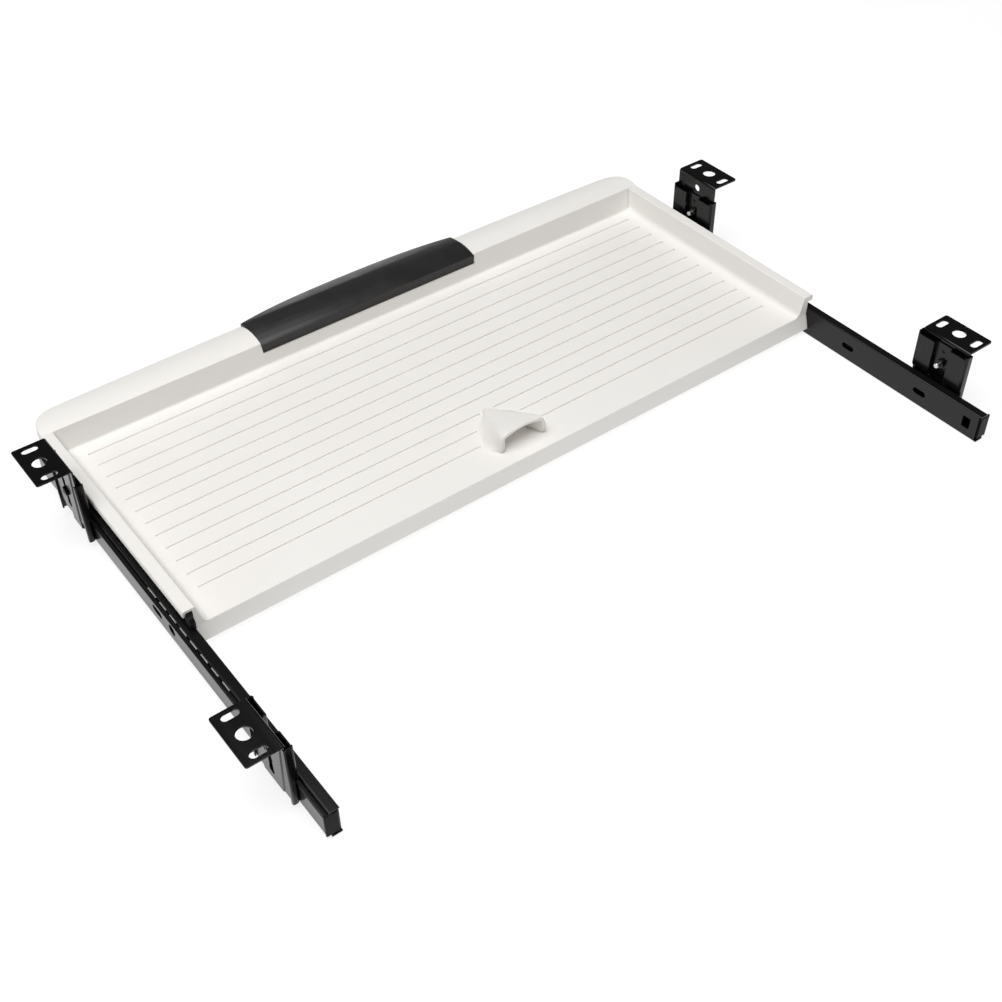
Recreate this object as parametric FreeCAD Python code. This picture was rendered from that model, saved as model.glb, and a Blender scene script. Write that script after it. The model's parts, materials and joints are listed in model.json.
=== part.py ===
import FreeCAD, Part
import math
import os

# Under-desk drawer: a ribbed plastic tray with a pull handle, carried by a ball slide on each
# side. Each slide hangs from the desk by two height-adjustable brackets.
# Millimetres. +Z is up and z = 0 is the desk's underside at the front brackets. The user sits on
# the -Y side, +X is the user's right, and the origin is the centre of the four brackets.

V = FreeCAD.Vector

# ---- driving dimensions -------------------------------------------------------------------
# brackets
hole_half_span_x = 350.0          # centre hole of a flange, from the middle of the part
bracket_half_span_y = 156.4
adjust_pitch = 13.0               # one step of the height adjustment
bracket_sheet = 1.5
flange_outer_x = 363.0
flange_half_width = 24.75
flange_hole_r = 6.0
flange_slot_offset = 18.4
flange_slot_length = 13.5
flange_slot_width = 6.3
web_length = 61.0
web_band_top_half_width = 18.5
web_band_foot_half_width = 12.5
web_band_rise = 0.8
web_top_hole_r = 3.5
ladder_slot_width = 5.6
ladder_hole_r = 3.6
hole_first_drop = 11.0            # the web's first hole below the flange top
bend_radius = 2.2
neck_drop = 2.5                   # the plain bend above the pressed web

# guide plates
plate_sheet = 1.2
plate_half_width = 26.75
plate_ear_z = -15.6
plate_top_z = -18.0
plate_joggle = 2.2
plate_joggle_z = (-54.0, -50.0)
plate_bend_r = 2.2
plate_bottom_z = -74.0
pad_half_width = 7.0
pad_slope_width = 1.5
pad_rise = 2.0
hook_cover = 2.6
dimple_z = -24.5
dimple_r = 1.8
dimple_depth = 0.7

# clamp screw (M5) and rivets
clamp_z = -37.0
clamp_thread_r = 2.5
clamp_head_r = 4.2
clamp_head_height = 2.2
clamp_length = 10.0
collar_r = 4.0
collar_depth = 2.5
rivet_offset_y = 17.0
rivet_shank_r = 1.9
rivet_head_r = 3.0
rivet_head_height = 1.0
rivet_tail_height = 1.8
press_gap = 0.05

# ball slides
slide_outer_x = 331.5
slide_depth = 12.0
slide_height = 27.0
slide_centre_z = -66.0
slide_length = 450.0
slide_rear_y = 216.0
slide_sheet = 1.0
ball_r = 1.4
running_gap = 0.05
cabinet_half_height = 9.6
cabinet_flange_depth = 8.35
cabinet_lip_height = 0.7
drawer_flange_start = 3.6
drawer_lip_height = 1.2
ball_depth = 6.05
slot_pitch = 83.5
slot_first_y = 151.0
slot_length = 13.5
slot_width = 5.6
travel = 215.0
rail_end_step = 2.0                # the fixed rail ends this far inside the drawer rail
stop_half_height = 11.0
tooling_offset_z = 2.5
tooling_slot_y = (-28.0, -13.0)
tooling_slot_width = 6.5
tooling_hole_y = 3.0
tooling_hole_r = 4.8
cabinet_tab_depth = 9.3
drawer_tab_depth = 8.4
cabinet_window = 7.0
drawer_window = 9.0

# ball retainers
retainer_sheet = 0.5
retainer_front_y = -39.0
retainer_length = 128.0
retainer_web_depth = 8.9
retainer_edge_depth = 3.0
ball_pitch = 16.0
ball_count = 8
retainer_notch = 6.0

# tray
tray_half_width = 325.0
tray_wall = 2.5
rim_z = -39.3
floor_z = -59.0
skirt_z = -73.0
rim_inner_x = 314.6
floor_inner_x = 309.5
side_cove_r = 6.0
front_cove_r = 2.5
rim_round = 1.2
rim_outer_round = 2.0
end_web = 2.0
clip_inner_x = 317.3
clip_front_y = -7.5
clip_rear_y = 22.5
rim_inner_y = -233.0
floor_inner_y = -226.5
front_centre_y = -272.5
front_corner_y = -263.5
front_corner_x = 301.0
corner_start_y = -238.0
lip_top_y = 14.3
lip_bottom_y = 18.7
rim_hook_depth = 5.7
rim_crown = 2.8
front_edge_z = -43.0
corner_wall_y = -236.0

# floor grooves
groove_count = 12
groove_first_y = -211.5
groove_pitch = 17.45
groove_half_length = 297.0
groove_r = 0.95
groove_rise = 0.05                # the groove's centre line above the floor

# cable hood
hood_apex_y = -59.0
hood_mouth_y = -2.0
hood_height = 19.7
# along the hood: y, half width at the floor, and the share of that width that is flat on top
hood_stations = [(-58.0, 2.0, 0.2), (-45.0, 15.0, 0.25), (-30.0, 26.0, 0.35), (-16.0, 31.0, 0.50),
                 (-8.0, 28.0, 0.70), (-2.0, 22.6, 0.90)]
mouth_half_width = 20.0
mouth_side_height = 13.5
mouth_height = 17.7
cable_hole_y = (-34.0, -20.0)
cable_hole_half_width = 9.0

# handle
handle_half_length = 116.6
handle_inner_y = -230.7
handle_end_y = -270.0
handle_bow_y = -287.0
handle_top_z = -36.3
handle_seat_z = -48.8
handle_wall = 2.5
handle_lip_z = -58.0
lip_half_length = 104.0
notch_half_length = 117.0
handle_screw_x = (-80.0, 0.0, 80.0)
handle_screw_y = -250.0

# ---- derived --------------------------------------------------------------------------------
slide_inner_x = slide_outer_x - slide_depth
slide_front_y = slide_rear_y - slide_length
pad_inner_x = slide_outer_x + pad_rise
web_inner_x = pad_inner_x + plate_sheet + 0.1 - web_band_rise
web_outer_x = web_inner_x + bracket_sheet
band_outer_x = web_outer_x + web_band_rise
hook_inner_x = web_outer_x + 0.2
ball_z_offset = cabinet_half_height + running_gap + ball_r
screw_y = [slot_first_y - slot_pitch * k for k in range(2, 5)]
retainer_rear_y = retainer_front_y + retainer_length
drawer_stop_y = retainer_rear_y + travel / 2 + 1.0
cabinet_stop_y = retainer_front_y - travel / 2 - 1.0
retainer_flange_top = cabinet_half_height + cabinet_lip_height + 0.8
far = 400.0


# ---- helpers --------------------------------------------------------------------------------
def box(x0, x1, y0, y1, z0, z1):
    lo = V(min(x0, x1), min(y0, y1), min(z0, z1))
    return Part.makeBox(abs(x1 - x0), abs(y1 - y0), abs(z1 - z0), lo)


def rod_x(x0, x1, y, z, radius):
    return Part.makeCylinder(radius, abs(x1 - x0), V(min(x0, x1), y, z), V(1, 0, 0))


def rod_z(x, y, z0, z1, radius):
    return Part.makeCylinder(radius, abs(z1 - z0), V(x, y, min(z0, z1)), V(0, 0, 1))


def face_of(points):
    ring = [V(*p) for p in points]
    return Part.Face(Part.makePolygon(ring + ring[:1]))


def prism_z(points, z0, z1):
    return face_of([(x, y, z0) for x, y in points]).extrude(V(0, 0, z1 - z0))


def prism_x(points, x0, x1):
    return face_of([(x0, y, z) for y, z in points]).extrude(V(x1 - x0, 0, 0))


def rounded_wire(corners):
    """A closed wire through (point, radius) corners, each rounded by its radius."""
    runs = []
    for k, (point, radius) in enumerate(corners):
        to_last = corners[k - 1][0].sub(point).normalize()
        to_next = corners[(k + 1) % len(corners)][0].sub(point).normalize()
        half = math.acos(max(-1.0, min(1.0, to_last.dot(to_next)))) / 2
        reach = radius / math.tan(half)
        middle = to_last.add(to_next)
        if radius:
            middle = point.add(middle.normalize().multiply(radius / math.sin(half) - radius))
        runs.append((point.add(to_last.multiply(reach)), middle, point.add(to_next.multiply(reach)), radius))
    edges = []
    for k, (start, middle, end, radius) in enumerate(runs):
        if radius:
            edges.append(Part.Arc(start, middle, end).toShape())
        edges.append(Part.LineSegment(end, runs[(k + 1) % len(runs)][0]).toShape())
    return Part.Wire(edges)


def slot_x(x0, x1, y0, y1, z, width):
    """A slot through X that runs along Y, with round ends, y0 to y1 over all."""
    r = width / 2
    body = box(x0, x1, y0 + r, y1 - r, z - r, z + r)
    return body.fuse([rod_x(x0, x1, y0 + r, z, r), rod_x(x0, x1, y1 - r, z, r)])


def mirrored(shape):
    return shape.mirror(V(0, 0, 0), V(1, 0, 0))


def moved(shape, dx=0.0, dy=0.0, dz=0.0):
    copy = shape.copy()
    copy.translate(V(dx, dy, dz))
    return copy


def edges_along(shape, axis, keep):
    """Straight edges of a shape that run along an axis and whose middle passes keep(point)."""
    found = []
    for edge in shape.Edges:
        if edge.Curve.TypeId != "Part::GeomLine":
            continue
        run = edge.Vertexes[-1].Point.sub(edge.Vertexes[0].Point)
        if run.Length < 1e-6:
            continue
        run.normalize()
        if abs(run.dot(axis)) > 0.999 and keep(edge.CenterOfMass):
            found.append(edge)
    return found


def save(name, shape):
    merged = shape.removeSplitter()
    if merged.isValid():
        shape = merged
    if not shape.isValid():
        print("INVALID", name)
    shape.exportStep("parts/" + name + ".step")
    print(name, "solids", len(shape.Solids), "volume", round(shape.Volume, 1))


# ---- ball slides ------------------------------------------------------------------------------
def slide_box(depth0, depth1, y0, y1, w0, w1):
    """A box in the slide's section: depth inward from its outer face, w up from its middle."""
    x0 = slide_outer_x - depth1
    x1 = slide_outer_x - depth0
    return box(x0, x1, y0, y1, slide_centre_z + w0, slide_centre_z + w1)


def both_edges(depth0, depth1, y0, y1, w0, w1):
    upper = slide_box(depth0, depth1, y0, y1, w0, w1)
    lower = slide_box(depth0, depth1, y0, y1, -w1, -w0)
    return upper, lower


def cabinet_rail():
    """The fixed, narrower member: a channel whose web carries the guide plates."""
    y0, y1 = slide_front_y, slide_rear_y - rail_end_step
    top = cabinet_half_height
    web = slide_box(0, slide_sheet, y0, y1, -top, top)
    flanges = both_edges(0, cabinet_flange_depth, y0, y1, top - slide_sheet, top)
    lips = both_edges(cabinet_flange_depth - slide_sheet, cabinet_flange_depth, y0, y1,
                      top - slide_sheet, top + cabinet_lip_height)
    rail = web.fuse([*flanges, *lips]).removeSplitter()
    corner_x = slide_outer_x
    outer = edges_along(rail, V(0, 1, 0), lambda p: abs(p.x - corner_x) < 1e-3)
    rail = rail.makeFillet(0.8, outer)
    # the front stop, a tab lanced from the web and bent inward
    window_y0 = cabinet_stop_y - cabinet_window
    rail = rail.cut(slide_box(-1, slide_sheet + 0.2, window_y0, cabinet_stop_y, -3.5, 3.5))
    tab = slide_box(0, cabinet_tab_depth, cabinet_stop_y - slide_sheet, cabinet_stop_y, -3.0, 3.0)
    bridge = slide_box(0, slide_sheet, cabinet_stop_y - slide_sheet, cabinet_stop_y, -3.5, 3.5)
    rail = rail.fuse([tab, bridge])
    # an oblong and a round tooling hole in the web, and the rivets' holes
    x0, x1 = slide_outer_x - slide_sheet - 1, slide_outer_x + 1
    tooling_z = slide_centre_z + tooling_offset_z
    rail = rail.cut(slot_x(x0, x1, *tooling_slot_y, tooling_z, tooling_slot_width))
    rail = rail.cut(rod_x(x0, x1, tooling_hole_y, tooling_z, tooling_hole_r))
    for y in rivet_places():
        rail = rail.cut(rod_x(x0, x1, y, slide_centre_z, rivet_shank_r + press_gap))
    return rail


def drawer_rail():
    """The moving, taller member: a channel open outward, screwed to the tray's side."""
    y0, y1 = slide_front_y, slide_rear_y
    top = slide_height / 2
    web = slide_box(slide_depth - slide_sheet, slide_depth, y0, y1 - 2.0, -top, top)
    flanges = both_edges(drawer_flange_start, slide_depth, y0, y1, top - slide_sheet, top)
    lips = both_edges(drawer_flange_start, drawer_flange_start + slide_sheet, y0, y1,
                      top - slide_sheet - drawer_lip_height, top)
    rail = web.fuse([*flanges, *lips]).removeSplitter()
    outer = edges_along(rail, V(0, 1, 0), lambda p: abs(abs(p.z - slide_centre_z) - top) < 1e-3)
    rail = rail.makeFillet(0.9, outer)
    x0, x1 = slide_inner_x - 1, slide_inner_x + slide_sheet + 1
    for k in range(5):
        y = slot_first_y - slot_pitch * k
        rail = rail.cut(slot_x(x0, x1, y - slot_length / 2, y + slot_length / 2,
                               slide_centre_z, slot_width))
    # the rear stop, a tab lanced from the web and bent outward
    rail = rail.cut(box(x0, x1, drawer_stop_y, drawer_stop_y + drawer_window,
                        slide_centre_z - 5.5, slide_centre_z + 5.5))
    rail = rail.fuse(slide_box(drawer_tab_depth, slide_depth, drawer_stop_y, drawer_stop_y + slide_sheet,
                               -4.5, 4.5))
    bridge = slide_box(slide_depth - slide_sheet, slide_depth, drawer_stop_y,
                       drawer_stop_y + slide_sheet, -5.5, 5.5)
    return rail.fuse(bridge)


def ball_rows():
    first = retainer_front_y + (retainer_length - ball_pitch * (ball_count - 1)) / 2
    for k in range(ball_count):
        for sign in (1, -1):
            yield first + ball_pitch * k, slide_centre_z + sign * ball_z_offset


def ball_retainer():
    """A folded strip between the two members with a hole for each ball."""
    y0, y1 = retainer_front_y, retainer_rear_y
    top = retainer_flange_top
    low = top - retainer_sheet
    web_back = retainer_web_depth + retainer_sheet
    web = slide_box(retainer_web_depth, web_back, y0, y1, -top, top)
    flanges = both_edges(retainer_edge_depth, web_back, y0, y1, low, top)
    strip = web.fuse([*flanges]).removeSplitter()
    ball_x = slide_outer_x - ball_depth
    for y, z in ball_rows():
        up = 1 if z > slide_centre_z else -1
        strip = strip.cut(rod_z(ball_x, y, slide_centre_z + up * (low - 0.5),
                                slide_centre_z + up * (top + 0.5), ball_r + 0.12))
        # the edge is notched between the balls
        notch_y = y + ball_pitch / 2
        w0, w1 = sorted((up * (low - 0.5), up * (top + 0.5)))
        strip = strip.cut(slide_box(0, retainer_edge_depth + 0.9, notch_y - retainer_notch / 2,
                                    notch_y + retainer_notch / 2, w0, w1))
    return strip


def bearing_balls():
    ball_x = slide_outer_x - ball_depth
    return Part.makeCompound([Part.makeSphere(ball_r, V(ball_x, y, z)) for y, z in ball_rows()])


def rear_stop():
    """A plastic plug with a cap that closes the fixed rail's rear end, inside the drawer rail."""
    fit = cabinet_half_height - slide_sheet - 0.05
    cap_y = slide_rear_y - rail_end_step + 0.1
    plug = slide_box(slide_sheet + 0.05, 9.6, slide_rear_y - 9.0, cap_y, -fit, fit)
    cap = slide_box(0, 10.6, cap_y, slide_rear_y, -stop_half_height, stop_half_height)
    rear_edges = edges_along(cap, V(1, 0, 0), lambda p: p.y > slide_rear_y - 0.1)
    rear_edges += edges_along(cap, V(0, 0, 1), lambda p: p.y > slide_rear_y - 0.1)
    return plug.fuse(cap.makeFillet(0.8, rear_edges))


# ---- brackets -----------------------------------------------------------------------------------
def rivet_places():
    return [sign * bracket_half_span_y + off for sign in (-1, 1) for off in (-rivet_offset_y, rivet_offset_y)]


def plate_outline(x0, z):
    """The guide plate's section at z: a panel at x0 with a pad pressed outward and curled sides."""
    t = plate_sheet
    half, pad, slope = plate_half_width, pad_half_width, pad_half_width + pad_slope_width
    pad_x = pad_inner_x
    lean = t * math.tan(math.atan2(pad_x - x0, pad_slope_width) / 2)
    hook_out = hook_inner_x + t
    inner = [(x0, half, plate_bend_r), (hook_out, half, 1.1), (hook_out, half - hook_cover, 0),
             (hook_inner_x, half - hook_cover, 0), (hook_inner_x, half - t, 0),
             (x0 + t, half - t, plate_bend_r - t), (x0 + t, slope + lean, 0), (pad_x + t, pad + lean, 0)]
    outer = [(x, -y, r) for x, y, r in reversed(inner)]
    panel = [(x0, -slope, 0), (pad_x, -pad, 0), (pad_x, pad, 0), (x0, slope, 0)]
    return rounded_wire([(V(x, y, z), r) for x, y, r in inner + outer + panel])


def guide_plate():
    """The lower half of a bracket, centred on y = 0; below its joggle it lies on the fixed rail."""
    low, high = plate_joggle_z
    x_low, x_high = slide_outer_x, slide_outer_x - plate_joggle
    foot = Part.Face(plate_outline(x_low, plate_bottom_z)).extrude(V(0, 0, low - plate_bottom_z))
    step = Part.makeLoft([plate_outline(x_low, low), plate_outline(x_high, high)], True, True)
    body = Part.Face(plate_outline(x_high, high)).extrude(V(0, 0, plate_ear_z - high))
    plate = foot.fuse([step, body]).removeSplitter()
    inset = plate_half_width - plate_bend_r
    plate = plate.cut(box(x_high - 1, hook_inner_x - 0.1, -inset, inset, plate_top_z, 0))
    plate = plate.fuse(rod_x(pad_inner_x - collar_depth, pad_inner_x + 0.2, 0, clamp_z, collar_r))
    plate = plate.cut(rod_x(x_high - 5, x_low + 10, 0, clamp_z, clamp_thread_r + press_gap))
    plate = plate.cut(rod_x(pad_inner_x - 1, pad_inner_x + dimple_depth, 0, dimple_z, dimple_r))
    for y in (-rivet_offset_y, rivet_offset_y):
        plate = plate.cut(rod_x(x_low - 1, x_low + 3, y, slide_centre_z, rivet_shank_r + press_gap))
    return plate


def web_section(z, band):
    """The hanger web's section at z, with its middle band pressed outward."""
    half, rise, slope = flange_half_width, web_band_rise, band + 1.2
    section = [
        (web_inner_x, -half), (web_inner_x, -slope), (web_inner_x + rise, -band),
        (web_inner_x + rise, band), (web_inner_x, slope), (web_inner_x, half),
        (web_outer_x, half), (web_outer_x, slope), (band_outer_x, band),
        (band_outer_x, -band), (web_outer_x, -slope), (web_outer_x, -half),
    ]
    ring = [V(x, y, z) for x, y in section]
    return Part.makePolygon(ring + ring[:1])


def hanger():
    """The upper half of a bracket, centred on y = 0 with its flange top at z = 0."""
    half = flange_half_width
    t = bracket_sheet
    flange = box(web_inner_x, flange_outer_x, -half, half, -t, 0)
    neck = box(web_inner_x, web_outer_x, -half, half, -neck_drop, 0)
    angle = flange.fuse(neck).removeSplitter()
    outer_bend = edges_along(angle, V(0, 1, 0), lambda p: p.x < web_inner_x + 0.1 and p.z > -0.1)
    angle = angle.makeFillet(bend_radius, outer_bend)
    corners = edges_along(angle, V(0, 0, 1), lambda p: p.x > flange_outer_x - 0.1)
    angle = angle.makeFillet(2.0, corners)
    web = Part.makeLoft([web_section(-web_length, web_band_foot_half_width),
                         web_section(-neck_drop, web_band_top_half_width)], True, True)
    feet = edges_along(web, V(1, 0, 0), lambda p: p.z < 1 - web_length and abs(p.y) > half - 0.1)
    web = web.makeFillet(3.0, feet)
    shape = angle.fuse(web)
    # the flange's centre hole and two slots across it
    shape = shape.cut(rod_z(hole_half_span_x, 0, -5, 5, flange_hole_r))
    reach = (flange_slot_length - flange_slot_width) / 2
    slot_r = flange_slot_width / 2
    for y in (-flange_slot_offset, flange_slot_offset):
        shape = shape.cut(box(hole_half_span_x - reach, hole_half_span_x + reach,
                              y - slot_r, y + slot_r, -5, 5))
        for x in (hole_half_span_x - reach, hole_half_span_x + reach):
            shape = shape.cut(rod_z(x, y, -5, 5, slot_r))
    # the web's open hole, and a slot with a seat at each height for the clamp screw
    x0, x1 = web_inner_x - 2, band_outer_x + 2
    shape = shape.cut(rod_x(x0, x1, 0, -hole_first_drop, web_top_hole_r))
    seats = [-(hole_first_drop + adjust_pitch * k) for k in (1, 2, 3)]
    w = ladder_slot_width / 2
    shape = shape.cut(box(x0, x1, -w, w, seats[2], seats[0]))
    for z in seats:
        shape = shape.cut(rod_x(x0, x1, 0, z, ladder_hole_r))
    return shape


def clamp_screw():
    """A pan-head machine screw, driven inward through the hanger into the guide plate's collar."""
    seat = band_outer_x + 0.1
    shank = rod_x(seat - clamp_length, seat, 0, clamp_z, clamp_thread_r)
    tip = edges_around(shank, lambda p: p.x < seat - clamp_length + 0.1)
    shank = shank.makeChamfer(0.6, tip)
    head = rod_x(seat, seat + clamp_head_height, 0, clamp_z, clamp_head_r)
    crown = edges_around(head, lambda p: p.x > seat + clamp_head_height - 0.1)
    head = head.makeFillet(1.2, crown)
    screw = shank.fuse(head)
    return cut_cross_x(screw, seat + clamp_head_height, 0, clamp_z, 2.2, 0.5, 1.2)


def edges_around(shape, keep):
    return [e for e in shape.Edges if e.Curve.TypeId == "Part::GeomCircle" and keep(e.CenterOfMass)]


def cut_cross_x(shape, face_x, y, z, reach, half_width, depth):
    """A cross recess in a face that looks along +X."""
    across = box(face_x - depth, face_x + 1, y - reach, y + reach, z - half_width, z + half_width)
    upright = box(face_x - depth, face_x + 1, y - half_width, y + half_width, z - reach, z + reach)
    return shape.cut(across.fuse(upright))


def plate_rivet(y):
    """A rivet through a guide plate and the fixed rail's web."""
    plate_face = slide_outer_x + plate_sheet
    rail_face = slide_outer_x - slide_sheet
    head = rod_x(plate_face, plate_face + rivet_head_height, y, slide_centre_z, rivet_head_r)
    head = head.makeFillet(0.6, edges_around(head, lambda p: p.x > plate_face + rivet_head_height - 0.1))
    shank = rod_x(rail_face, plate_face, y, slide_centre_z, rivet_shank_r)
    tail = rod_x(rail_face - rivet_tail_height, rail_face, y, slide_centre_z, rivet_head_r)
    return head.fuse([shank, tail])


# ---- tray ------------------------------------------------------------------------------------------
def tray_outline(inset=0.0):
    """The tray's plan outline as a wire, bowed along the front, with round front corners."""
    x = tray_half_width - inset
    cx, cy = front_corner_x, front_corner_y + inset
    start_y = corner_start_y
    mid_r = tray_half_width - front_corner_x - inset
    mid = (cx + mid_r * math.cos(math.pi / 4), start_y - mid_r * math.sin(math.pi / 4) * 1.03)
    rear = 60.0
    right = Part.LineSegment(V(x, rear, 0), V(x, start_y, 0)).toShape()
    corner_r = Part.Arc(V(x, start_y, 0), V(mid[0], mid[1], 0), V(cx, cy, 0)).toShape()
    front = Part.Arc(V(cx, cy, 0), V(0, front_centre_y + inset, 0), V(-cx, cy, 0)).toShape()
    corner_l = Part.Arc(V(-cx, cy, 0), V(-mid[0], mid[1], 0), V(-x, start_y, 0)).toShape()
    left = Part.LineSegment(V(-x, start_y, 0), V(-x, rear, 0)).toShape()
    back = Part.LineSegment(V(-x, rear, 0), V(x, rear, 0)).toShape()
    return Part.Wire([right, corner_r, front, corner_l, left, back])


def tray_block(inset=0.0, drop=0.0):
    """The tray's outer volume, with the crowned front rim, inset and lowered for its inside."""
    face = Part.Face(tray_outline(inset))
    face.translate(V(0, 0, skirt_z - 20.0))
    block = face.extrude(V(0, 0, 80.0))
    crown_y = (rim_inner_y + front_centre_y) / 2 - 2.0
    arc = Part.Arc(V(-far, rim_inner_y, rim_z - drop), V(-far, crown_y, rim_z + rim_crown - drop),
                   V(-far, front_centre_y, front_edge_z - drop)).toShape()
    points = [(front_centre_y, front_edge_z - drop), (front_centre_y - 40, front_edge_z - drop),
              (front_centre_y - 40, skirt_z - drop), (80.0, skirt_z - drop), (80.0, rim_z - drop),
              (rim_inner_y, rim_z - drop)]
    sides = [Part.LineSegment(V(-far, *a), V(-far, *b)).toShape() for a, b in zip(points, points[1:])]
    profile = Part.Face(Part.Wire([arc, *sides]))
    return block.common(profile.extrude(V(2 * far, 0, 0)))


def rounded_rim(block):
    """The tray's outer volume with its top edge rounded along the sides and the front."""
    edges = [e for e in block.Edges if e.BoundBox.XLength < 0.01 and abs(e.BoundBox.XMax) > 320
             and e.BoundBox.ZMin > front_edge_z and e.BoundBox.YMin < 59]
    return block.makeFillet(rim_outer_round, edges)


def bowl(grow=0.0):
    """The drawer's inside: drafted side and front walls over coves, open at the rear and above."""
    low, high = floor_z - grow, floor_z + 30.0
    slope_x = (rim_inner_x - floor_inner_x) / (rim_z - floor_z)
    slope_y = (rim_inner_y - floor_inner_y) / (rim_z - floor_z)
    side = [(floor_inner_x + grow - slope_x * grow, low, side_cove_r + grow),
            (rim_inner_x + grow, rim_z, 0 if grow else rim_round),
            (rim_inner_x + grow + 5.0, rim_z, 0), (rim_inner_x + grow + 5.0, high, 0)]
    across = [(V(x, -far, z), r) for x, z, r in side] + [(V(-x, -far, z), r) for x, z, r in reversed(side)]
    tall_y = floor_inner_y + slope_y * (high - floor_z) - grow
    along = [(V(-far, 50.0, high), 0), (V(-far, 50.0, low), 0),
             (V(-far, floor_inner_y - grow - slope_y * grow, low), front_cove_r + grow), (V(-far, tall_y, high), 0)]
    trough = Part.Face(rounded_wire(across)).extrude(V(0, 2 * far, 0))
    return trough.common(Part.Face(rounded_wire(along)).extrude(V(2 * far, 0, 0)))


def rear_trim():
    """What is cut away behind the tray: the side walls' ends and the lip's sloped face."""
    points = [(lip_top_y, 0.0), (lip_top_y, floor_z), (lip_bottom_y, skirt_z), (lip_bottom_y, -120.0),
              (120.0, -120.0), (120.0, 0.0)]
    return prism_x(points, -far, far)


def hood_section(y, half_width, flat):
    """The hood's outer section at y: a crown whose flanks run out into the floor."""
    steps = 24
    height = hood_height * (y - hood_apex_y) / (hood_mouth_y - hood_apex_y)
    sink = 0.15
    points = []
    for k in range(steps + 1):
        share = 2.0 * k / steps - 1.0
        fall = max(0.0, (abs(share) - flat) / (1.0 - flat))
        rise = height * (1.0 - 0.18 * share * share) * 0.5 * (1.0 + math.cos(math.pi * fall))
        points.append(V(half_width * share, y, floor_z - sink + rise))
    curve = Part.BSplineCurve()
    curve.interpolate(points)
    low_l, low_r = (V(p.x, y, floor_z - 1.0) for p in (points[0], points[-1]))
    lines = [Part.LineSegment(a, b).toShape() for a, b in
             ((points[-1], low_r), (low_r, low_l), (low_l, points[0]))]
    return Part.Wire([curve.toShape(), *lines])


def hood_solid():
    return Part.makeLoft([hood_section(*station) for station in hood_stations], True, False)


def hood_half_width_at(y):
    """Half of the hood's width at the floor, 0 in front of its apex."""
    for (y0, w0, _), (y1, w1, _) in zip(hood_stations, hood_stations[1:]):
        if y0 <= y <= y1:
            return w0 + (w1 - w0) * (y - y0) / (y1 - y0)
    return 0.0


def mouth_section(y, scale):
    """The hood's opening: upright sides under a flat arch."""
    w, side, top = mouth_half_width * scale, mouth_side_height * scale, mouth_height * scale
    z = floor_z
    low_r, low_l = V(w, y, z), V(-w, y, z)
    high_r, high_l = V(w, y, z + side), V(-w, y, z + side)
    arch = Part.Arc(high_l, V(0, y, z + top), high_r).toShape()
    lines = [Part.LineSegment(a, b).toShape() for a, b in ((high_r, low_r), (low_r, low_l), (low_l, high_l))]
    return Part.Wire([arch, *lines])


def hood_hollow():
    inner_apex_y = hood_apex_y + 9.0
    reach = hood_mouth_y + 0.5 - inner_apex_y
    small = mouth_section(inner_apex_y + 0.12 * reach, 0.12)
    large = mouth_section(hood_mouth_y + 0.5, 1.0)
    return Part.makeLoft([small, large], True, True)


def groove_runs():
    """Each groove's y and its x stretches; the hood interrupts the last ones."""
    for k in range(groove_count):
        y = groove_first_y + groove_pitch * k
        width = hood_half_width_at(y)
        gap = width + 2.0 if width else 0.0
        if gap:
            yield y, [(-groove_half_length, -gap), (gap, groove_half_length)]
        else:
            yield y, [(-groove_half_length, groove_half_length)]


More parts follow.
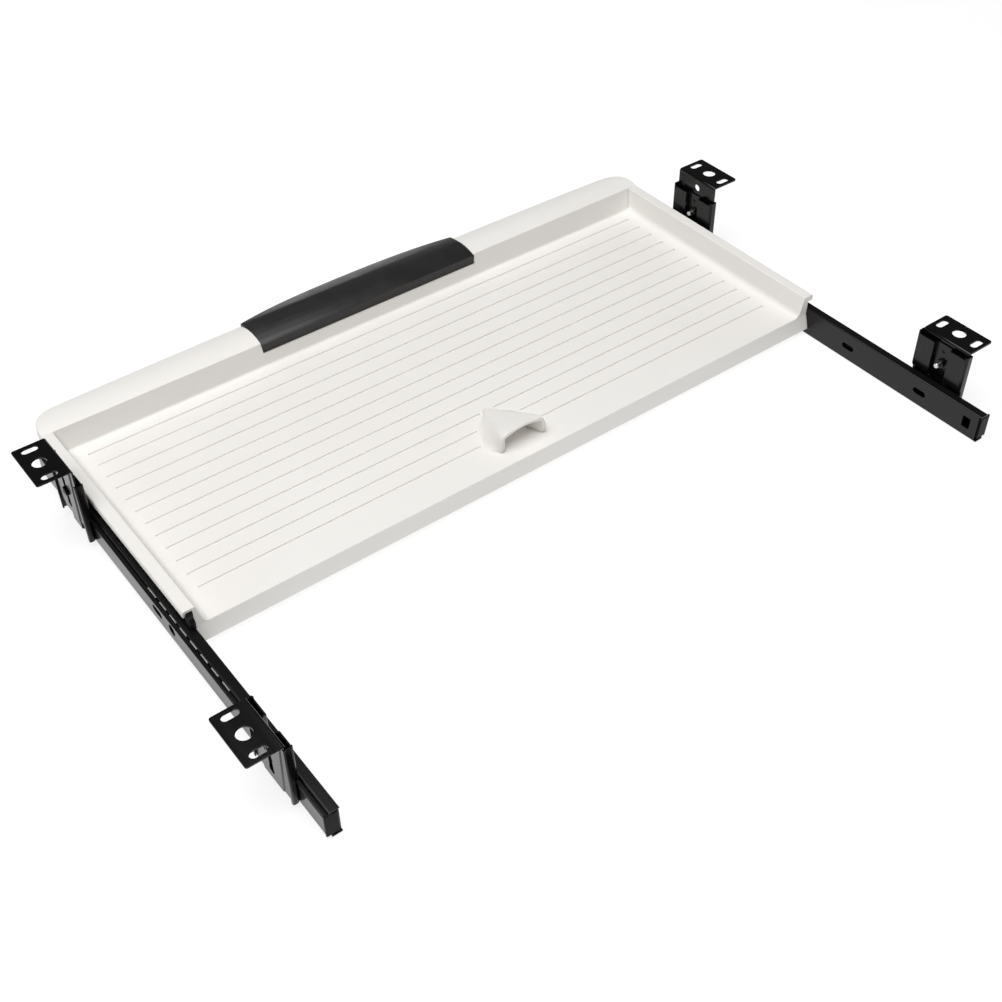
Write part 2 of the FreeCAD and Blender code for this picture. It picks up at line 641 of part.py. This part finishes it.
def tray():
    outer = rounded_rim(tray_block())
    skin = outer.cut(tray_block(tray_wall, tray_wall))
    # the rails lie under the side rims, so the outer skin stops short there
    for sign in (1, -1):
        skin = skin.cut(box(sign * slide_inner_x, sign * far, corner_wall_y, 100,
                            skirt_z - 30, rim_z - rim_hook_depth))
    bowl_shell = bowl(tray_wall).cut(box(-far, far, -far, far, rim_z, 0)).common(outer)
    pieces = [bowl_shell]
    under_rim = rim_z - tray_wall + 0.5
    for sign in (1, -1):
        inner_x, outer_x = sign * (slide_inner_x - tray_wall), sign * slide_inner_x
        pieces.append(box(inner_x, outer_x, corner_wall_y - tray_wall, 60, skirt_z, under_rim))
        pieces.append(box(inner_x, sign * (tray_half_width - 1.0), corner_wall_y - tray_wall,
                          corner_wall_y, skirt_z, under_rim))
        for y in screw_y:
            pieces.append(rod_x(sign * 307.0, outer_x, y, slide_centre_z, 4.0))
        # webs that close the side wall's rear end
        web_y = lip_top_y - end_web
        pieces.append(box(sign * 300.0, outer_x, web_y, 40.0, skirt_z, under_rim))
        pieces.append(box(inner_x, sign * (tray_half_width - 1.0), web_y, lip_top_y,
                          rim_z - rim_hook_depth, under_rim))
    # the rear lip and the ribs under the floor
    lip = prism_x([(lip_top_y - tray_wall, floor_z - 1.0), (40.0, floor_z - 1.0), (40.0, skirt_z),
                   (lip_bottom_y - tray_wall, skirt_z)], -slide_inner_x + 0.5, slide_inner_x - 0.5)
    pieces.append(lip)
    rib_z = floor_z - 10.0
    for y in (-190.0, -110.0, -50.0):
        pieces.append(box(-318.0, 318.0, y - 1.0, y + 1.0, rib_z, floor_z - 1.0))
    for x in (-240.0, -120.0, 120.0, 240.0):
        pieces.append(box(x - 1.0, x + 1.0, -225.0, lip_top_y, rib_z, floor_z - 1.0))
    # the seat for the handle in the front rim
    seat = box(-notch_half_length - tray_wall, notch_half_length + tray_wall, -far, rim_inner_y + 3.0,
               handle_seat_z - tray_wall, rim_z + rim_crown).common(outer)
    pieces.append(seat)
    shape = skin.fuse(pieces).removeSplitter()
    shape = shape.cut(bowl())
    shape = shape.cut(box(-notch_half_length, notch_half_length, -far, rim_inner_y + 5.0,
                          handle_seat_z, 0))
    shape = shape.cut(rear_trim())
    # room for the clip under the right rim's end
    shape = shape.cut(box(clip_inner_x - 0.1, tray_half_width - tray_wall, clip_front_y - 0.5, 60.0,
                          slide_centre_z + slide_height / 2, rim_z - tray_wall))
    # holes for the rail screws and the handle screws
    for sign in (1, -1):
        for y in screw_y:
            shape = shape.cut(rod_x(sign * 309.0, sign * 330.0, y, slide_centre_z, 1.6 + press_gap))
    for x in handle_screw_x:
        shape = shape.cut(rod_z(x, handle_screw_y, handle_seat_z - 5, handle_seat_z + 1, 2.1))
    # the hood over the cable hole
    shape = shape.fuse(hood_solid())
    shape = shape.cut(hood_hollow())
    shape = shape.cut(box(-cable_hole_half_width, cable_hole_half_width, *cable_hole_y,
                          floor_z - 20.0, floor_z + 1.0))
    grooves = [rod_x(x0, x1, y, floor_z + groove_rise, groove_r) for y, runs in groove_runs() for x0, x1 in runs]
    return shape.cut(Part.makeCompound(grooves))


# ---- handle -----------------------------------------------------------------------------------------
def handle_volume(inset=0.0, drop=0.0):
    """The handle's outer volume: bowed in plan, crowned in section."""
    x_in = handle_half_length - inset
    y_in = handle_inner_y - inset
    y_end = handle_end_y + inset
    sides = [Part.LineSegment(V(x_in, y_end, -80), V(x_in, y_in, -80)).toShape(),
             Part.LineSegment(V(x_in, y_in, -80), V(-x_in, y_in, -80)).toShape(),
             Part.LineSegment(V(-x_in, y_in, -80), V(-x_in, y_end, -80)).toShape()]
    bow = Part.Arc(V(-x_in, y_end, -80), V(0, handle_bow_y + inset, -80), V(x_in, y_end, -80)).toShape()
    plan = Part.Face(Part.Wire([*sides, bow])).extrude(V(0, 0, 80))
    crown_y = handle_inner_y - 20.0
    edge_z = rim_z - 0.7 - drop
    arc = Part.Arc(V(-far, handle_inner_y + 2, edge_z), V(-far, crown_y, handle_top_z - drop),
                   V(-far, handle_bow_y - 2, front_edge_z - 3.5 - drop)).toShape()
    low = -120.0
    a, b = V(-far, handle_bow_y - 2, front_edge_z - 3.5 - drop), V(-far, handle_bow_y - 2, low)
    c, d = V(-far, handle_inner_y + 2, low), V(-far, handle_inner_y + 2, edge_z)
    lines = [Part.LineSegment(p, q).toShape() for p, q in ((a, b), (b, c), (c, d))]
    return plan.common(Part.Face(Part.Wire([arc, *lines])).extrude(V(2 * far, 0, 0)))


def handle():
    # over the tray the shell ends on its seat; in front of the tray it reaches lower as a lip
    seat_zone = box(-far, far, -far, 0, handle_seat_z, 0)
    ends = [V(-lip_half_length, -far, handle_seat_z), V(lip_half_length, -far, handle_seat_z)]
    low = Part.Arc(ends[0], V(0, -far, handle_lip_z), ends[1]).toShape()
    lip_face = Part.Face(Part.Wire([low, Part.LineSegment(ends[1], ends[0]).toShape()]))
    lip_zone = lip_face.extrude(V(0, far + front_centre_y - 0.4, 0))
    whole = handle_volume()
    inside = handle_volume(handle_wall, handle_wall)
    zones = seat_zone.fuse(lip_zone)
    shell = whole.common(zones).cut(inside)
    tops = whole.cut(handle_volume(0.0, handle_wall))
    pieces = [tops.common(zones)]
    for x in handle_screw_x:
        pieces.append(rod_z(x, handle_screw_y, handle_seat_z, 0, 4.0).common(whole))
    for x in (-100.0, -60.0, -20.0, 20.0, 60.0, 100.0):
        pieces.append(box(x - 0.8, x + 0.8, -266.0, handle_inner_y - 1.0,
                          handle_seat_z + 2.0, 0).common(whole))
    shell = shell.fuse(pieces)
    for x in handle_screw_x:
        shell = shell.cut(rod_z(x, handle_screw_y, handle_seat_z - 1, handle_seat_z + 7.0, 1.9 + press_gap))
    # a step along the top of the inner face
    step = box(-far, far, handle_inner_y - 0.8, handle_inner_y + 5.0, handle_seat_z - 1, rim_z - 4.2)
    return shell.cut(step)


# ---- small fasteners of the drawer ----------------------------------------------------------------
def tray_screw(y):
    """A low-head screw from the rail's inside into the tray's side boss."""
    seat = slide_inner_x + slide_sheet
    head = rod_x(seat, seat + 1.3, y, slide_centre_z, 3.6)
    head = head.makeFillet(0.7, edges_around(head, lambda p: p.x > seat + 1.2))
    head = cut_cross_x(head, seat + 1.3, y, slide_centre_z, 1.9, 0.4, 0.8)
    shank = rod_x(310.0, seat, y, slide_centre_z, 1.6)
    return head.fuse(shank)


def handle_screw(x):
    seat = handle_seat_z - tray_wall
    head = rod_z(x, handle_screw_y, seat - 2.4, seat, 4.0)
    head = head.makeFillet(1.0, edges_around(head, lambda p: p.z < seat - 2.3))
    return head.fuse(rod_z(x, handle_screw_y, seat, handle_seat_z + 6.0, 1.9))


def rim_clip():
    """A clip on the right drawer rail: it fills the end of the rim's hollow and stands out behind it."""
    low = slide_centre_z + slide_height / 2 + 0.05
    high = rim_z - tray_wall - 0.4
    tongue = box(clip_inner_x, tray_half_width - tray_wall - 0.1, clip_front_y, lip_top_y + 0.7, low, high)
    block = box(slide_inner_x - 0.6, tray_half_width - 1.4, lip_top_y + 0.7, clip_rear_y, low, high)
    clip = tongue.fuse(block).removeSplitter()
    round_edges = edges_along(clip, V(1, 0, 0), lambda p: p.z > high - 0.1 and p.y > clip_rear_y - 0.1)
    clip = clip.makeFillet(5.0, round_edges)
    crown = edges_along(clip, V(0, 1, 0), lambda p: p.z > high - 0.1 and p.y > lip_top_y)
    return clip.makeFillet(1.0, crown)


# ---- write the parts ----------------------------------------------------------------------------------
os.makedirs("parts", exist_ok=True)

sides = {"right": lambda shape: shape, "left": mirrored}
ends = {"front": (-bracket_half_span_y, 0.0), "rear": (bracket_half_span_y, -adjust_pitch)}

for side, place in sides.items():
    save("cabinet_rail_" + side, place(cabinet_rail()))
    save("drawer_rail_" + side, place(drawer_rail()))
    save("ball_retainer_" + side, place(ball_retainer()))
    save("bearing_balls_" + side, place(bearing_balls()))
    save("rear_stop_" + side, place(rear_stop()))
    save("tray_screws_" + side, place(Part.makeCompound([tray_screw(y) for y in screw_y])))
    save("plate_rivets_" + side, place(Part.makeCompound([plate_rivet(y) for y in rivet_places()])))
    for end, (y, drop) in ends.items():
        save("guide_plate_" + end + "_" + side, place(moved(guide_plate(), dy=y)))
        save("hanger_" + end + "_" + side, place(moved(hanger(), dy=y, dz=drop)))
        save("clamp_screw_" + end + "_" + side, place(moved(clamp_screw(), dy=y)))

save("tray", tray())
save("rim_clip", rim_clip())
save("pull_handle", handle())
save("handle_screws", Part.makeCompound([handle_screw(x) for x in handle_screw_x]))
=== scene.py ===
import json
import math

import bmesh
import bpy
from mathutils import Matrix, Vector


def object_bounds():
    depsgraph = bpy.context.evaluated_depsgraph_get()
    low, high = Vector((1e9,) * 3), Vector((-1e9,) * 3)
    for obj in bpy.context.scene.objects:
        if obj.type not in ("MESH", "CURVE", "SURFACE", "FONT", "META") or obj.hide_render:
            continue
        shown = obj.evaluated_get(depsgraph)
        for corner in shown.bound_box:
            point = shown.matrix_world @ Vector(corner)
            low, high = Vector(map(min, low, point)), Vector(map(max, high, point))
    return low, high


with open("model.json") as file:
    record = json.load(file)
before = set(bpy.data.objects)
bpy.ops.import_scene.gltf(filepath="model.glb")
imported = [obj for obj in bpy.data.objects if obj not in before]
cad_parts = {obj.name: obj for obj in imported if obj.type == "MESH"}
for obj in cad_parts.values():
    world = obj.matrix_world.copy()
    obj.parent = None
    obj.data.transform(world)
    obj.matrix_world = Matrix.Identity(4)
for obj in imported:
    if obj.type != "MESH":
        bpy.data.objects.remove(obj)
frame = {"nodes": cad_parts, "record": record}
cad_low, cad_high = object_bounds()
nodes = frame["nodes"]
scene = bpy.context.scene

# ---- sizes and places, in metres -------------------------------------------------------------
slide_middle_z = -0.066            # the middle line of the ball slides
retainer_web_half = 0.010          # the retainers' webs get painted shade, black, up to this far from it
blackened_from_x = 0.3355          # the screws are black farther out than this
weld_distance = 2e-6               # joins the split vertices of a CAD mesh
floor_gap = 0.0005                 # between the floor and the lowest point of the object
floor_size = 14.0
softbox_size = 2.6

# ---- plain colours ---------------------------------------------------------------------------
# black for the screws farther out, and painted shade on the retainer webs
black_finish_and_shade = (0.012, 0.012, 0.013)
white = (1.0, 1.0, 1.0, 1.0)


# ---- node material helpers -----------------------------------------------------------------
class Mat:
    """A node material: a Principled shader and short calls that add nodes to it."""

    def __init__(self, name, **sockets):
        self.mat = bpy.data.materials.new(name)
        self.mat.use_nodes = True
        self.tree = self.mat.node_tree
        self.tree.nodes.clear()
        self.out = self.tree.nodes.new("ShaderNodeOutputMaterial")
        self.bsdf = self.tree.nodes.new("ShaderNodeBsdfPrincipled")
        self.tree.links.new(self.bsdf.outputs["BSDF"], self.out.inputs["Surface"])
        for socket, value in sockets.items():
            self.bsdf.inputs[socket.replace("_", " ")].default_value = value
        coord = self.tree.nodes.new("ShaderNodeTexCoord")
        self.place = coord.outputs["Object"]

    def link(self, a, b):
        self.tree.links.new(a, b)

    def new(self, kind, **settings):
        node = self.tree.nodes.new(kind)
        for key, value in settings.items():
            setattr(node, key, value)
        return node

    def stretched(self, scale):
        node = self.new("ShaderNodeMapping")
        node.inputs["Scale"].default_value = scale
        self.link(self.place, node.inputs["Vector"])
        return node.outputs["Vector"]

    def noise(self, scale, detail=2.0, rough=0.5, at=None):
        node = self.new("ShaderNodeTexNoise")
        node.inputs["Scale"].default_value = scale
        node.inputs["Detail"].default_value = detail
        node.inputs["Roughness"].default_value = rough
        self.link(at or self.place, node.inputs["Vector"])
        return node.outputs["Fac"]

    def ramp(self, value, *stops):
        node = self.new("ShaderNodeValToRGB")
        ramp = node.color_ramp
        while len(ramp.elements) > len(stops):
            ramp.elements.remove(ramp.elements[-1])
        while len(ramp.elements) < len(stops):
            ramp.elements.new(1.0)
        for element, (at, level) in zip(ramp.elements, stops):
            element.position = at
            element.color = (*level, 1.0) if isinstance(level, tuple) else (level, level, level, 1.0)
        self.link(value, node.inputs["Fac"])
        return node.outputs["Color"]

    def math(self, operation, a, b):
        node = self.new("ShaderNodeMath", operation=operation)
        for socket, value in zip(node.inputs, (a, b)):
            if isinstance(value, (int, float)):
                socket.default_value = value
            else:
                self.link(value, socket)
        return node.outputs["Value"]

    def mix(self, factor, a, b, blend="MIX"):
        node = self.new("ShaderNodeMix", data_type="RGBA", blend_type=blend)
        node.clamp_factor = True
        for socket, value in ((node.inputs[0], factor), (node.inputs[6], a), (node.inputs[7], b)):
            if isinstance(value, (int, float)):
                socket.default_value = value
            elif isinstance(value, tuple):
                socket.default_value = (*value, 1.0)
            else:
                self.link(value, socket)
        return node.outputs[2]

    def bump(self, height, strength, distance, after=None):
        node = self.new("ShaderNodeBump")
        node.inputs["Strength"].default_value = strength
        node.inputs["Distance"].default_value = distance
        self.link(height, node.inputs["Height"])
        if after is not None:
            self.link(after, node.inputs["Normal"])
        return node.outputs["Normal"]

    def edges(self, radius, low, high):
        """1 on sharp edges and inner corners, 0 on flats."""
        bevel = self.new("ShaderNodeBevel", samples=4)
        bevel.inputs["Radius"].default_value = radius
        geometry = self.new("ShaderNodeNewGeometry")
        dot = self.new("ShaderNodeVectorMath", operation="DOT_PRODUCT")
        self.link(bevel.outputs["Normal"], dot.inputs[0])
        self.link(geometry.outputs["Normal"], dot.inputs[1])
        return self.ramp(dot.outputs["Value"], (low, 1.0), (high, 0.0))

    def crease_shade(self, reach, low, high, most):
        """Painted shade: up to most in creases narrower than reach, 0 in the open."""
        node = self.new("ShaderNodeAmbientOcclusion", samples=8)
        node.inputs["Distance"].default_value = reach
        return self.ramp(node.outputs["AO"], (low, most), (high, 0.0))

    def set(self, socket, value):
        self.link(value, self.bsdf.inputs[socket])


def white_plastic():
    """Satin warm white plastic with a fine grain, and painted shade that darkens grooves and narrow
    creases.
    """
    m = Mat("tray_abs", IOR=1.46)
    tone = m.noise(7.0, 3.0)
    grain = m.noise(1400.0, 2.0)
    streak = m.noise(1.0, 4.0, 0.6, m.stretched((18.0, 260.0, 60.0)))
    base = m.mix(m.ramp(tone, (0.3, 0.0), (0.7, 1.0)), (0.840, 0.818, 0.785), (0.866, 0.846, 0.816))
    base = m.mix(m.ramp(streak, (0.55, 0.0), (0.8, 0.25)), base, (0.80, 0.78, 0.745))
    base = m.mix(m.ramp(grain, (0.35, 0.12), (0.6, 0.0)), base, (0.76, 0.74, 0.70))
    # painted shade: grooves and creases narrower than 2.8 mm are darkened to a grey beige
    base = m.mix(m.crease_shade(0.0028, 0.50, 0.95, 0.90), base, (0.64, 0.615, 0.57))
    m.set("Base Color", base)
    m.set("Roughness", m.ramp(m.noise(40.0, 4.0), (0.3, 0.40), (0.7, 0.50)))
    fine = m.bump(grain, 0.15, 0.0002)
    m.set("Normal", m.bump(m.noise(55.0, 2.0), 0.08, 0.0006, fine))
    return m.mat


def black_plastic(name, tone, rough, shine=0.5):
    """Satin black moulded plastic with a fine grain, dust specks and a painted edge highlight that
    makes the edges paler.
    """
    m = Mat(name, IOR=1.47, Specular_IOR_Level=shine)
    grain = m.noise(1900.0, 3.0, 0.6)
    cloud = m.noise(30.0, 4.0)
    dark = tuple(0.7 * c for c in tone)
    base = m.mix(m.ramp(cloud, (0.3, 0.0), (0.7, 1.0)), dark, tone)
    dust = m.ramp(m.noise(700.0, 2.0, 0.7), (0.66, 0.0), (0.74, 0.4))
    base = m.mix(dust, base, tuple(2.5 * c for c in tone))
    # painted highlight: sharp edges and inner corners lightened to 1.8 times the tone
    base = m.mix(m.edges(0.0012, 0.90, 0.98), base, tuple(1.8 * c for c in tone))
    m.set("Base Color", base)
    m.set("Roughness", m.ramp(m.noise(60.0, 4.0), (0.3, rough - 0.05), (0.7, rough + 0.05)))
    m.set("Normal", m.bump(grain, 0.25, 0.0002))
    return m.mat


def coated_steel(name, tone, rough, wear):
    """Black gloss coating over steel: orange peel, dust, and thin wear on the edges."""
    m = Mat(name, IOR=1.37)
    peel = m.noise(420.0, 3.0, 0.55)
    cloud = m.noise(24.0, 5.0, 0.6)
    base = m.mix(m.ramp(cloud, (0.3, 0.0), (0.7, 1.0)), tuple(0.65 * c for c in tone), tone)
    specks = m.ramp(m.noise(900.0, 2.0, 0.7), (0.70, 0.0), (0.78, 0.5))
    base = m.mix(specks, base, tuple(4.0 * c for c in tone))
    edge = m.edges(0.0006, 0.86, 0.97)
    chips = m.ramp(m.noise(160.0, 5.0, 0.7), (0.52, 0.0), (0.66, wear))
    worn = m.math("MULTIPLY", edge, chips)
    base = m.mix(worn, base, (0.18, 0.175, 0.17))
    m.set("Base Color", base)
    m.set("Metallic", m.math("MULTIPLY", worn, 0.8))
    smear = m.noise(1.0, 4.0, 0.6, m.stretched((90.0, 9.0, 90.0)))
    m.set("Roughness", m.ramp(smear, (0.3, rough - 0.03), (0.7, rough + 0.05)))
    m.set("Normal", m.bump(peel, 0.10, 0.00012))
    return m.mat


def bright_metal(name, tone, rough, lines, dark_from_x=None, painted_shade_web_half=None):
    """Zinc or polished steel with fine drawing lines along Y.

    It is black farther than dark_from_x from the plane x = 0, and painted black as shade within the
    given web half-height of the slides' middle height.
    """
    m = Mat(name, Metallic=1.0)
    stain = m.noise(120.0, 4.0, 0.6)
    base = m.mix(m.ramp(stain, (0.35, 0.0), (0.7, 1.0)), tuple(0.78 * c for c in tone), tone)
    split = m.new("ShaderNodeSeparateXYZ")
    m.link(m.place, split.inputs["Vector"])
    if dark_from_x is not None:
        outside = m.math("GREATER_THAN", m.math("ABSOLUTE", split.outputs["X"], 0.0), dark_from_x)
        base = m.mix(outside, base, black_finish_and_shade)
    if painted_shade_web_half is not None:
        height = m.math("ABSOLUTE", m.math("SUBTRACT", split.outputs["Z"], slide_middle_z), 0.0)
        # painted shade: the web near the slides' middle height is made black
        base = m.mix(m.math("LESS_THAN", height, painted_shade_web_half), base, black_finish_and_shade)
    m.set("Base Color", base)
    drawn = m.noise(1.0, 3.0, 0.6, m.stretched((2600.0, 160.0, 2600.0)))
    m.set("Roughness", m.ramp(drawn, (0.3, rough - 0.06), (0.7, rough + 0.12)))
    m.set("Normal", m.bump(drawn, lines, 0.0001))
    return m.mat


# ---- materials ---------------------------------------------------------------------------
tray_mat = white_plastic()
handle_mat = black_plastic("handle_black", (0.021, 0.020, 0.0205), 0.40)
stop_mat = black_plastic("stop_black", (0.005, 0.005, 0.0055), 0.45, 0.12)
rail_mat = coated_steel("rail_black", (0.0060, 0.0060, 0.0062), 0.21, 0.4)
bracket_mat = coated_steel("bracket_black", (0.0042, 0.0042, 0.0045), 0.19, 0.5)
rivet_mat = coated_steel("rivet_black", (0.010, 0.010, 0.011), 0.28, 0.7)
screw_mat = bright_metal("screw_zinc", (0.80, 0.79, 0.76), 0.28, 0.2, dark_from_x=blackened_from_x)
# the retainer strip's web gets painted shade near the slides' middle height
strip_mat = bright_metal("strip_zinc", (0.72, 0.72, 0.70), 0.50, 0.3, painted_shade_web_half=retainer_web_half)
ball_mat = bright_metal("ball_polished", (0.82, 0.82, 0.83), 0.14, 0.02)

by_slot = {
    "white_plastic": tray_mat, "handle_plastic": handle_mat, "black_plastic": stop_mat,
    "rail_steel": rail_mat, "bracket_steel": bracket_mat, "rivet_steel": rivet_mat,
    "screw_steel": screw_mat, "zinc_strip": strip_mat, "ball_steel": ball_mat,
}
slot_of = {s["node"]: s["material_slot"] for s in frame["record"]["subparts"]}


def dress(obj, slot_name):
    """Gives an object its slot's material."""
    obj.data.materials.clear()
    obj.data.materials.append(by_slot[slot_name])


def soften(obj, width, segments=2, angle=35.0):
    """Welds a CAD mesh's split vertices and rounds its sharp edges."""
    weld = obj.modifiers.new("weld", "WELD")
    weld.merge_threshold = weld_distance
    bevel = obj.modifiers.new("round", "BEVEL")
    bevel.width = width
    bevel.segments = segments
    bevel.limit_method = "ANGLE"
    bevel.angle_limit = math.radians(angle)
    bevel.use_clamp_overlap = True
    bevel.harden_normals = True
    bevel.miter_outer = "MITER_ARC"


# Edge rounding in metres. Parts that aren't listed keep the edges they have in the CAD.
edge_width = {
    "cabinet_rail": 0.0002, "drawer_rail": 0.0002, "guide_plate": 0.00025, "hanger": 0.00035,
    "pull_handle": 0.0006, "rear_stop": 0.0002, "rim_clip": 0.0003,
}
for name, obj in nodes.items():
    dress(obj, slot_of[name])
    for stem, width in edge_width.items():
        if name.startswith(stem):
            soften(obj, width)

# ---- floor ---------------------------------------------------------------------------------
floor_level = cad_low.z - floor_gap
floor_mesh = bpy.data.meshes.new("floor")
grid = bmesh.new()
bmesh.ops.create_grid(grid, x_segments=8, y_segments=8, size=floor_size / 2)
grid.to_mesh(floor_mesh)
grid.free()
floor = bpy.data.objects.new("floor", floor_mesh)
floor.location = (0.0, 0.0, floor_level)
scene.collection.objects.link(floor)

paper = Mat("floor_paper", Roughness=0.9)
paper.set("Base Color", paper.mix(paper.noise(3.0), (0.24, 0.24, 0.24), (0.26, 0.26, 0.26)))
paper.bsdf.inputs["Emission Color"].default_value = white
paper.bsdf.inputs["Emission Strength"].default_value = 0.80
floor_mesh.materials.append(paper.mat)

# ---- light -----------------------------------------------------------------------------------
world = bpy.data.worlds.new("studio")
world.use_nodes = True
background = world.node_tree.nodes["Background"]
background.inputs["Color"].default_value = white
background.inputs["Strength"].default_value = 0.08
scene.world = world


def softbox(name, centre, target, width, height, power):
    """A rectangular area light that faces a target; sizes in metres, power in watts."""
    light = bpy.data.lights.new(name, "AREA")
    light.shape = "RECTANGLE"
    light.size = width
    light.size_y = height
    light.energy = power
    obj = bpy.data.objects.new(name, light)
    scene.collection.objects.link(obj)
    obj.location = centre
    toward = Vector(target) - Vector(centre)
    obj.rotation_euler = toward.to_track_quat("-Z", "Y").to_euler()
    return obj


softbox("key_overhead", (0.5, 0.15, 2.4), (0.0, 0.0, -0.06), softbox_size, softbox_size, 83.0)

# ---- camera ------------------------------------------------------------------------------------
camera_at = Vector((0.54784, 0.70338, 0.70826))
camera_right = Vector((-0.79744, 0.60331, -0.0103)).normalized()
camera_back = Vector((0.43518, 0.58688, 0.68278)).normalized()
camera_up = camera_back.cross(camera_right).normalized()
camera_data = bpy.data.cameras.new("camera")
camera_data.sensor_width = 36.0
camera_data.lens = 50.41
camera_data.clip_start = 0.05
camera_data.clip_end = 60.0
camera = bpy.data.objects.new("camera", camera_data)
scene.collection.objects.link(camera)
turn = Matrix((camera_right, camera_up, camera_back)).transposed().to_4x4()
camera.matrix_world = Matrix.Translation(camera_at) @ turn
scene.camera = camera
scene.view_settings.view_transform = "Standard"
scene.view_settings.look = "None"
